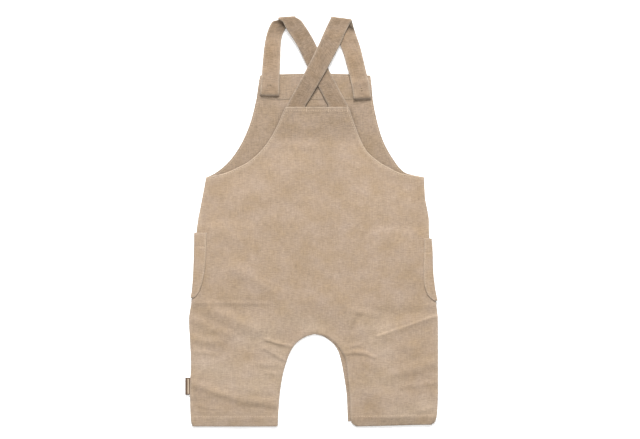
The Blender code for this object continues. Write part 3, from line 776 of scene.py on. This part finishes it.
def make_strap(name, parts):
    """A doubled strip with soft, slightly thicker edges, lofted along its ribs."""
    bend = turn_ribs(parts["turn"], parts["turn_radius"])
    ribs = smoothed(parts["upper"] + bend[:1])[:-1] + [np.array(r) for r in bend]
    turned_at = len(ribs)
    ribs += smoothed(bend[-1:] + parts["lower"])[1:]
    ribs = np.array([above_bib(rib) for rib in ribs])
    left = np.column_stack([ribs[:, 0], ribs[:, 1], ribs[:, 4]])
    right = np.column_stack([ribs[:, 2], ribs[:, 3], ribs[:, 4]])
    middle = (left + right) / 2
    half = (right - left) / 2
    tangent = np.gradient(middle, axis=0)
    normal = np.cross(half, tangent)
    normal /= np.linalg.norm(normal, axis=1)[:, None]
    along = np.concatenate([[0], np.cumsum(np.linalg.norm(np.diff(middle, axis=0), axis=1))])
    to_end = along[-1] - along
    lift = np.zeros(len(ribs))
    for at, width, height in STRAP_WRINKLES[name]:
        lift += height * bell(along - at, width)
    lift += groove(to_end, 0.0026, 0.0008, 0.00030)
    s = np.sin(np.linspace(-math.pi / 2, math.pi / 2, 19))
    thick = STRAP_THICK / 2 * (1 - 0.985 * np.abs(s) ** 12) ** 0.5
    thick += EDGE_BEAD * bell(np.abs(s) - EDGE_BEAD_AT, EDGE_BEAD_WIDTH)
    loop_s = np.concatenate([s, s[-2:0:-1]])
    loop_h = np.concatenate([thick, -thick[-2:0:-1]])
    end = np.clip(to_end / END_ROUND, 0, 1)
    flat_end = 0.60 + 0.40 * np.sqrt(1 - (1 - end) ** 2)
    pressed = 1 - END_PRESS * bell(to_end, END_PRESS_REACH)
    corner = np.clip(to_end / CORNER_REACH, 0, 1)
    half = half * (1 - CORNER_CUT * (1 - corner) ** 2)[:, None]
    raised = loop_h[None, :] * (flat_end * pressed)[:, None] + lift[:, None] * (1 - loop_s[None] ** 4)
    points = middle[:, None] + half[:, None] * loop_s[None, :, None] + normal[:, None] * raised[..., None]
    points[:, :, 2] -= STRAP_THICK / 2 * (1 - pressed)[:, None]
    rows, width = len(ribs), len(loop_s)
    index = np.arange(rows * width).reshape(rows, width)
    index = np.concatenate([index, index[:, :1]], axis=1)
    faces = quads(index).tolist()
    faces += [index[0, :-1].tolist(), index[-1, :-1][::-1].tolist()]
    half_width = np.linalg.norm(half, axis=1)
    u = (loop_s[None] * half_width[:, None]) + np.where(loop_h < 0, UNDERSIDE_UV, 0)[None]
    uv = np.stack([u, np.repeat(along[:, None], width, axis=1)], axis=-1).reshape(-1, 2)
    # Paler edges and end: partly worn nap and partly painted highlight
    rim = np.exp(-(1 - np.abs(np.tile(loop_s, rows))) * 0.0105 / 0.0011)
    near_end = np.exp(-np.repeat(to_end, width) / 0.0012)
    nap = ramp((np.arange(rows) - turned_at + 6) / 16)
    tone = np.repeat(-1.75 + 0.75 * nap, width)
    tone += 0.65 * undulation(*uv.T, 0.0085, along[-1]) + 0.35 * undulation(*uv.T, 0.0035, 6.1)
    # Painted shade in the hollow under the turn, on the strap's inner side
    below = np.repeat(along - along[turned_at - 1], width)
    at, reach, side, depth = TURN_HOLLOW_SHADE[name]
    inner = ramp(0.5 + side * np.tile(loop_s, rows))
    tone -= depth * inner * bell(below - at, reach) * (below > 0)
    made = mesh_object(name + "_cloth", points.reshape(-1, 3), faces, uv,
                       {"rim": np.maximum(rim, near_end), "tone": tone})
    made["length"] = float(along[-1])
    fix_normals(made)
    return made


def fix_normals(obj):
    """Turns every face outwards."""
    bm = bmesh.new()
    bm.from_mesh(obj.data)
    bmesh.ops.recalc_face_normals(bm, faces=bm.faces)
    bm.to_mesh(obj.data)
    bm.free()


# ---- Stitches ------------------------------------------------------------------------------------
def walk(route, pitch):
    """Places along a polyline pitch apart, with the direction there."""
    line = np.array(route, float)
    steps = np.linalg.norm(np.diff(line, axis=0), axis=1)
    along = np.concatenate([[0], np.cumsum(steps)])
    count = max(1, int(along[-1] / pitch))
    at = (np.arange(count) + 0.5) * along[-1] / count
    x, y = np.interp(at, along, line[:, 0]), np.interp(at, along, line[:, 1])
    ahead = np.minimum(at + 0.0005, along[-1])
    behind = np.maximum(at - 0.0005, 0)
    dx = np.interp(ahead, along, line[:, 0]) - np.interp(behind, along, line[:, 0])
    dy = np.interp(ahead, along, line[:, 1]) - np.interp(behind, along, line[:, 1])
    length = np.hypot(dx, dy)
    return x, y, dx / length, dy / length


STITCH_PITCH = 0.0029
STITCH_LENGTH = 0.0023
THREAD = 0.00021
ALONG = np.array([-1.0, -0.62, 0.0, 0.62, 1.0])
SWELL = np.array([0.35, 0.9, 1.0, 0.9, 0.35])
RISE = np.array([-1.1, 0.15, 0.55, 0.15, -1.1])
ROUND = np.linspace(0, 2 * math.pi, 7)[:-1]
POCKET_HEM_ROWS = (0.0154, 0.0185)
THREAD_SUNK = 0.0006
SHANK_MARKS = [
    (-0.0522, 0.1632, 0, 1, "strap_left"),
    (-0.0493, 0.1632, 0, 1, "strap_left"),
    (0.0599, 0.1597, 1, 0, "strap_right"),
    (0.0602, 0.1569, 1, 0, "strap_right"),
]
# Bars of close stitches that hold the straps under the back's top edge
BARTACKS = [(-0.0296, 0.1366), (-0.0062, 0.1366), (0.0204, 0.1366), (0.0432, 0.1364)]


def stitches(runs, length=STITCH_LENGTH, thread=THREAD):
    """(points, faces) of one thread swell for each place: x, y, z, direction x and y, and side."""
    points, faces = [], []
    ring = len(ROUND)
    for x, y, z, dx, dy, side in runs:
        base = len(points)
        for a, swell, rise in zip(ALONG, SWELL, RISE):
            for angle in ROUND:
                across = thread * swell * math.cos(angle)
                up = side * thread * (rise + swell * math.sin(angle))
                run = a * length / 2
                points.append((x + dx * run - dy * across, y + dy * run + dx * across, z + up))
        for i in range(len(ALONG) - 1):
            for j in range(ring):
                k = (j + 1) % ring
                here, there = base + i * ring, base + (i + 1) * ring
                corners = [here + j, here + k, there + k, there + j]
                faces.append(corners if side > 0 else corners[::-1])
        first = [base + j for j in range(ring)]
        last = [base + (len(ALONG) - 1) * ring + j for j in range(ring)]
        faces += [first[::-1] if side > 0 else first, last if side > 0 else last[::-1]]
    return points, faces


def run_on(route, surface, side=1, pitch=STITCH_PITCH):
    x, y, dx, dy = walk(route, pitch)
    z = surface(x, y)
    return list(zip(x, y, z, dx, dy, [side] * len(x)))


def thread_object(name, runs, finish, **size):
    points, faces = stitches(runs, **size)
    made = mesh_object(name, points, faces)
    made.data.materials.append(finish)
    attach(made, "root")
    return made


def back_top(x, y):
    return back_middle(x, y) + CLOTH / 2


def bib_top(x, y):
    return front_shape(x, y) + CLOTH / 2


def facing_top(x, y):
    return facing_middle(x, y) + FACING_CLOTH / 2


def pocket_strip_runs(name, rows):
    """Stitches down a strip's inner edge, and two rows that hold its hem."""
    outward, edge_at = pocket_frame(name)
    heights = [-row.y for row in rows]
    strip_at = curve_through(heights, [row.strip for row in rows])

    def surface(x, y):
        return strip_middle(name, x, y) + POCKET_CLOTH / 2

    def at(down, inset):
        return float(edge_at(-down)) - outward * (float(strip_at(down)) - inset), -down

    down = np.linspace(heights[0] + 0.002, heights[-1] - 0.004, 40)
    runs = run_on([at(d, 0.0018) for d in down if strip_at(d) > 0.003], surface)
    for depth in POCKET_HEM_ROWS:
        d = heights[0] + depth
        to_seam = (float(edge_at(-d)) - outward * 0.0006, -d)
        runs += run_on([at(d, 0.0012), to_seam], surface, pitch=0.0026)
    return runs


def strap_top(name):
    """Height of a strap's upper face at its button, where the end is pressed flatter."""
    return above_bib(STRAPS[name]["lower"][-2])[4] + STRAP_THICK / 2 - THREAD_SUNK


def shank_marks():
    """Where the buttons' thread comes through: two short bars on each strap."""
    return [(x, y, strap_top(name) + 0.0001, dx, dy, 1) for x, y, dx, dy, name in SHANK_MARKS]


# ---- Materials -----------------------------------------------------------------------------------
class Nodes:
    """A short way to write a material's nodes."""

    def __init__(self, name):
        self.material = bpy.data.materials.new(name)
        self.material.use_nodes = True
        self.tree = self.material.node_tree
        self.shader = self.tree.nodes["Principled BSDF"]

    def add(self, kind, **settings):
        node = self.tree.nodes.new(kind)
        for key, value in settings.items():
            setattr(node, key, value)
        return node

    def link(self, source, target):
        self.tree.links.new(source, target)

    def feed(self, socket, value):
        if isinstance(value, bpy.types.NodeSocket):
            self.link(value, socket)
        else:
            socket.default_value = value

    def math(self, operation, a, b=0.0, c=0.0):
        node = self.add("ShaderNodeMath", operation=operation)
        for socket, value in zip(node.inputs, (a, b, c)):
            self.feed(socket, value)
        return node.outputs[0]

    def mix(self, factor, a, b, blend="MIX"):
        node = self.add("ShaderNodeMix", data_type="RGBA", blend_type=blend)
        self.feed(node.inputs["Factor"], factor)
        self.feed(node.inputs["A"], a)
        self.feed(node.inputs["B"], b)
        return node.outputs["Result"]

    def noise(self, vector, scale, detail=2.0, roughness=0.5):
        """Noise whose features are about 1 / scale metres, along each axis of the cloth."""
        mapping = self.add("ShaderNodeMapping")
        self.link(vector, mapping.inputs["Vector"])
        mapping.inputs["Scale"].default_value = scale
        node = self.add("ShaderNodeTexNoise")
        self.link(mapping.outputs[0], node.inputs["Vector"])
        node.inputs["Scale"].default_value = 1.0
        node.inputs["Detail"].default_value = detail
        node.inputs["Roughness"].default_value = roughness
        return node.outputs["Fac"]

    def shade(self, colour, brightness):
        """A colour made brighter or darker."""
        grey = self.add("ShaderNodeCombineColor")
        for socket in grey.inputs:
            self.link(brightness, socket)
        return self.mix(1.0, colour, grey.outputs[0], "MULTIPLY")

    def raised(self, height, strength, distance):
        """Gives the shader a bumpy surface."""
        bump = self.add("ShaderNodeBump")
        bump.inputs["Strength"].default_value = strength
        bump.inputs["Distance"].default_value = distance
        self.link(height, bump.inputs["Height"])
        self.link(bump.outputs[0], self.shader.inputs["Normal"])

    def attribute(self, name):
        return self.add("ShaderNodeAttribute", attribute_name=name).outputs["Fac"]


WALE_PITCH = 0.00095


def linear(red, green, blue):
    """A colour of the linear scale from one of the sRGB scale, 0 to 255."""
    found = [((c / 255 + 0.055) / 1.055) ** 2.4 for c in (red, green, blue)]
    return (*found, 1.0)


def cord_material(name, warm, cool, rim_colour, rim_share):
    """Needlecord: fine wales along the cloth, short cross streaks, soft blotches, paler rims, partly worn
    nap and partly painted highlight.
    """
    n = Nodes(name)
    cloth = n.add("ShaderNodeUVMap", uv_map="cloth").outputs[0]
    split = n.add("ShaderNodeSeparateXYZ")
    n.link(cloth, split.inputs[0])
    blotch = n.noise(cloth, (36.0, 40.0, 1.0), 4.0, 0.58)
    streak = n.noise(cloth, (190.0, 760.0, 1.0), 3.0, 0.65)
    rib = n.noise(cloth, (640.0, 95.0, 1.0), 2.0, 0.6)
    fibre = n.noise(cloth, (1500.0, 900.0, 1.0), 2.0, 0.6)
    base = n.mix(n.math("MULTIPLY_ADD", blotch, 2.4, -0.7), warm, cool)
    # rim: paler edges, partly worn nap and partly painted highlight, and on the back the pale worn patches
    rim = n.attribute("rim")
    base = n.mix(n.math("MULTIPLY", rim, rim_share), base, rim_colour)
    bright = n.math("MULTIPLY_ADD", n.math("SUBTRACT", streak, 0.5), 0.80, 1.0)
    bright = n.math("MULTIPLY_ADD", n.math("SUBTRACT", rib, 0.5), 0.42, bright)
    bright = n.math("MULTIPLY_ADD", n.math("SUBTRACT", fibre, 0.5), 0.40, bright)
    # tone: the nap's brightness here and there, with painted shade and a painted highlight among it
    bright = n.math("MULTIPLY_ADD", n.attribute("tone"), 0.16, bright)
    n.link(n.shade(base, bright), n.shader.inputs["Base Color"])
    wale = n.math("SINE", n.math("MULTIPLY", split.outputs[0], 2 * math.pi / WALE_PITCH))
    height = n.math("MULTIPLY_ADD", wale, 0.5, n.math("MULTIPLY", fibre, 0.9))
    height = n.math("MULTIPLY_ADD", streak, 1.1, height)
    n.raised(height, 0.7, 0.00021)
    n.shader.inputs["Roughness"].default_value = 0.88
    n.shader.inputs["Specular IOR Level"].default_value = 0.18
    n.shader.inputs["Sheen Weight"].default_value = 0.22
    n.shader.inputs["Sheen Roughness"].default_value = 0.45
    n.shader.inputs["Sheen Tint"].default_value = (1.0, 0.93, 0.86, 1.0)
    return n.material


def thread_material(name, colour):
    n = Nodes(name)
    where = n.add("ShaderNodeTexCoord").outputs["Object"]
    twist = n.noise(where, (2600.0, 2600.0, 2600.0), 2.0)
    shade = n.math("MULTIPLY_ADD", twist, 0.3, 0.85)
    n.link(n.shade(colour, shade), n.shader.inputs["Base Color"])
    n.shader.inputs["Roughness"].default_value = 0.75
    n.shader.inputs["Sheen Weight"].default_value = 0.2
    return n.material


def button_material():
    n = Nodes("button_shell")
    where = n.add("ShaderNodeTexCoord").outputs["Object"]
    cloud = n.noise(where, (160.0, 420.0, 200.0), 4.0, 0.6)
    colour = n.mix(cloud, linear(150, 118, 88), linear(188, 158, 126))
    n.link(colour, n.shader.inputs["Base Color"])
    n.shader.inputs["Roughness"].default_value = 0.38
    return n.material


def floor_material():
    n = Nodes("pale_floor")
    where = n.add("ShaderNodeTexCoord").outputs["Object"]
    grain = n.noise(where, (3.0, 3.0, 3.0), 2.0)
    n.link(n.mix(grain, (0.90, 0.90, 0.90, 1), (0.92, 0.92, 0.92, 1)), n.shader.inputs["Base Color"])
    n.shader.inputs["Roughness"].default_value = 0.9
    n.shader.inputs["Specular IOR Level"].default_value = 0.1
    n.shader.inputs["Emission Color"].default_value = (1.0, 1.0, 1.0, 1.0)
    n.shader.inputs["Emission Strength"].default_value = 0.30
    return n.material


def label_material():
    """Woven tape: dark, with a pale stripe along its middle and no lettering."""
    n = Nodes("label_tape_weave")
    cloth = n.add("ShaderNodeUVMap", uv_map="cloth").outputs[0]
    split = n.add("ShaderNodeSeparateXYZ")
    n.link(cloth, split.inputs[0])
    across, along = split.outputs[0], split.outputs[1]
    weave = n.noise(cloth, (2400.0, 1500.0, 1.0), 2.0)
    inside = n.math("LESS_THAN", n.math("ABSOLUTE", n.math("SUBTRACT", across, 0.0036)), 0.0009)
    ends = n.math("LESS_THAN", n.math("ABSOLUTE", along), 0.0090)
    stripe = n.math("MULTIPLY", inside, ends)
    dark = n.mix(weave, linear(62, 48, 38), linear(112, 86, 64))
    pale = n.mix(weave, linear(160, 143, 122), linear(188, 170, 148))
    n.link(n.mix(stripe, dark, pale), n.shader.inputs["Base Color"])
    n.raised(weave, 0.5, 0.00012)
    n.shader.inputs["Roughness"].default_value = 0.7
    return n.material


# ---- Label ---------------------------------------------------------------------------------------
def make_label():
    """Tape folded outwards: two layers and a round fold, its ends held in the side seam."""
    layer, gap = 0.00030, 0.00010
    middle = (LABEL_LOW.z + LABEL_HIGH.z) / 2
    reach = (layer + gap) / 2
    out_x = LABEL_LOW.x + reach + layer / 2
    flat = np.linspace(LABEL_HIGH.x, out_x, 20)
    arc = np.linspace(0, math.pi, 9)
    path = [(x, middle + reach) for x in flat]
    path += [(out_x - reach * math.sin(a), middle + reach * math.cos(a)) for a in arc[1:-1]]
    path += [(x, middle - reach) for x in flat[::-1]]
    across = LABEL_LOW.x
    y = np.linspace(LABEL_LOW.y, LABEL_HIGH.y, 25)
    centre = (LABEL_LOW.y + LABEL_HIGH.y) / 2
    points = [(px, py, pz + 0.00012 * math.sin(420 * py)) for py in y for px, pz in path]
    uv = [(px - across, py - centre) for py in y for px, pz in path]
    index = np.arange(len(points)).reshape(len(y), len(path))
    made = mesh_object("label_tape", points, quads(index), uv)
    thicken(made, layer)
    return made


# ---- Build ---------------------------------------------------------------------------------------
# The right thigh's crease, with a painted highlight along its lit side, and the back's edges, beside which
# painted shade lies on the bib
CREASE_LINE = ((0.0787, -0.1376), (0.1150, -0.1250), (0.1500, -0.1130))
CREASE_HIGHLIGHT_ABOVE, CREASE_HIGHLIGHT_WIDTH = 0.0010, 0.0012
back_left, back_right = column(BACK_SIDES, "left"), column(BACK_SIDES, "right")


def leg_share(y):
    """0 on the body, 1 on the legs."""
    return ramp((CROTCH + 0.045 - y) / 0.05)


def back_tone(x, y):
    """Brightness over the back: slow random changes of the nap, darker towards the top, painted shade over
    the hem bands, more on the right leg, and a painted highlight along the right thigh's crease.
    """
    upper = ramp((y - 0.080) / 0.05)
    nap = 0.30 * undulation(x, y * 1.3, 0.045, 11.0) + 0.26 * undulation(x, y * 2.0, 0.016, 2.2)
    # Painted shade over the hem bands, deeper on the right leg
    hem = ramp((BACK_HEM + 0.013 - y) / 0.003)
    # A pale line on the crease's upper, lit side: a painted highlight
    crease_highlight = bell(from_line(x, y - CREASE_HIGHLIGHT_ABOVE, CREASE_LINE), CREASE_HIGHLIGHT_WIDTH)
    return nap - 1.2 * upper + 0.10 * leg_share(y) - 0.70 * hem * (1 + 0.5 * np.sign(x)) + 1.9 * crease_highlight


def back_pale(x, y):
    """Pale worn patches, mostly on the legs, as a share of the pale rim colour."""
    return 0.75 * leg_share(y) * np.clip(undulation(x, y * 1.4, 0.038, 7.7) + 0.35, 0, 1)


def front_tone(x, y):
    """The bib's inner face, darker, with painted shade close beside the back's armhole edges."""
    beside = np.clip(np.where(x < 0, back_left(y) - x, x - back_right(y)), 0, None)
    # near: painted shade on the bib beside the back's armhole edges
    near = np.exp(-beside / 0.0016) + 0.18 * np.exp(-beside / 0.009)
    shown = ramp((y - UNDERARM) / 0.004) * ramp((BACK_TOP + 0.004 - y) / 0.006)
    return -0.85 + 0.15 * undulation(x, y, 0.040, 4.4) - 1.6 * near * shown


def dress(piece, node, slot, *materials):
    for material in materials:
        piece.data.materials.append(material)
    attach(piece, "root")
    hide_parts(node)


def build():
    # pale: the colour of the paler rims, partly worn nap and partly painted highlight, and of the worn
    # patches
    pale = linear(182, 166, 149)
    cord = cord_material("cord", linear(152, 131, 107), linear(160, 141, 124), pale, 0.42)
    strap_cord = cord_material("strap_cord", linear(150, 127, 102), linear(158, 138, 119), pale, 0.9)
    thread = thread_material("thread", linear(184, 163, 140))
    dark_thread = thread_material("shank_thread", linear(112, 95, 70))

    back = make_panel("back_cloth", BACK, back_middle, back_edges, 1.6 * MM, 60, back_tone, back_pale)
    dress(back, "back_panel", "cord_cloth", cord)
    front = make_panel("front_cloth", FRONT, front_shape, front_edges, 2.6 * MM, 38, front_tone)
    dress(front, "front_panel", "cord_cloth", cord)
    facing = make_facing()
    dress(facing, "bib_facing", "cord_cloth", cord)

    for name, rows in POCKETS.items():
        pocket = make_pocket(name, rows)
        dress(pocket, name, "cord_cloth", cord)
    for name, parts in STRAPS.items():
        strap = make_strap(name, parts)
        dress(strap, name, "strap_cloth", strap_cord)
    label = make_label()
    dress(label, "label_tab", "label_tape", label_material())
    finish = button_material()
    for name in ("button_left", "button_right"):
        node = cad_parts[name]
        node.data.materials.clear()
        node.data.materials.append(finish)

    runs = []
    for side in ("left", "right"):
        runs += run_on(BACK.armhole_edge(side, 0.0021), back_top)
        runs += run_on(BACK.hem_line(side, HEM_DEPTH), back_top)
    runs += run_on(BACK.top_edge(0.0045), back_top)
    for x, top in BARTACKS:
        runs += run_on([(x, top), (x, top - 0.0055)], back_top, pitch=0.0014)
    thread_object("stitches_back", runs, thread)
    thread_object("shank_threads", shank_marks(), dark_thread, length=0.0028, thread=0.00050)
    runs = []
    for name, rows in POCKETS.items():
        runs += pocket_strip_runs(name, rows)
    thread_object("stitches_pockets", runs, thread)
    runs = run_on(FRONT.top_edge(0.0030), facing_top)
    y = FACING_LOWER + 0.0030
    ends = (float(FRONT.side(y, "left")) + 0.003, float(FRONT.side(y, "right")) - 0.003)
    runs += run_on([(ends[0], y), (ends[1], y)], facing_top)
    for side in ("left", "right"):
        route = [p for p in FRONT.armhole_edge(side, 0.0022) if p[1] < FACING_LOWER - 0.001]
        runs += run_on(route, bib_top)
    thread_object("stitches_bib", runs, thread)


def make_stage():
    bpy.ops.mesh.primitive_plane_add(size=8, location=(0, 0, -0.0004))
    floor = bpy.context.object
    floor.name = "floor"
    floor.data.materials.append(floor_material())


def area_light(name, place, size, power, aim=(0, 0, 0)):
    data = bpy.data.lights.new(name, "AREA")
    data.shape = "DISK"
    data.size = size
    data.energy = power
    lamp = bpy.data.objects.new(name, data)
    lamp.location = place
    lamp.rotation_euler = (Vector(aim) - Vector(place)).to_track_quat("-Z", "Y").to_euler()
    bpy.context.scene.collection.objects.link(lamp)


def make_light():
    world = bpy.data.worlds.new("studio")
    bpy.context.scene.world = world
    world.use_nodes = True
    nodes, links = world.node_tree.nodes, world.node_tree.links
    background = nodes["Background"]
    where = nodes.new("ShaderNodeTexCoord")
    split = nodes.new("ShaderNodeSeparateXYZ")
    height = nodes.new("ShaderNodeMapRange")
    height.inputs["To Min"].default_value = 1.0
    height.inputs["To Max"].default_value = 0.46
    height.inputs["From Max"].default_value = 0.30
    links.new(where.outputs["Generated"], split.inputs[0])
    links.new(split.outputs["Z"], height.inputs["Value"])
    links.new(height.outputs[0], background.inputs["Strength"])
    background.inputs["Color"].default_value = (1.0, 1.0, 1.0, 1)
    area_light("key", (0.0, 1.9, 1.8), 1.3, 104)
    area_light("top", (0.1, -0.2, 2.6), 1.6, 14)
    bpy.context.scene.view_settings.view_transform = "Standard"


CAMERA_FRAME_WIDTH = 0.768
CAMERA_LENS = 100.0
CAMERA_AIM = (0.0101, 0.0024)


def make_camera():
    """Straight above, framed as 640 by 439 with the garment a little left of the middle."""
    data = bpy.data.cameras.new("camera")
    data.lens = CAMERA_LENS
    data.sensor_width = 36.0
    camera = bpy.data.objects.new("camera", data)
    camera.location = (*CAMERA_AIM, CAMERA_FRAME_WIDTH * CAMERA_LENS / data.sensor_width + 0.004)
    bpy.context.scene.collection.objects.link(camera)
    bpy.context.scene.camera = camera


make_camera()
build()
make_stage()
make_light()
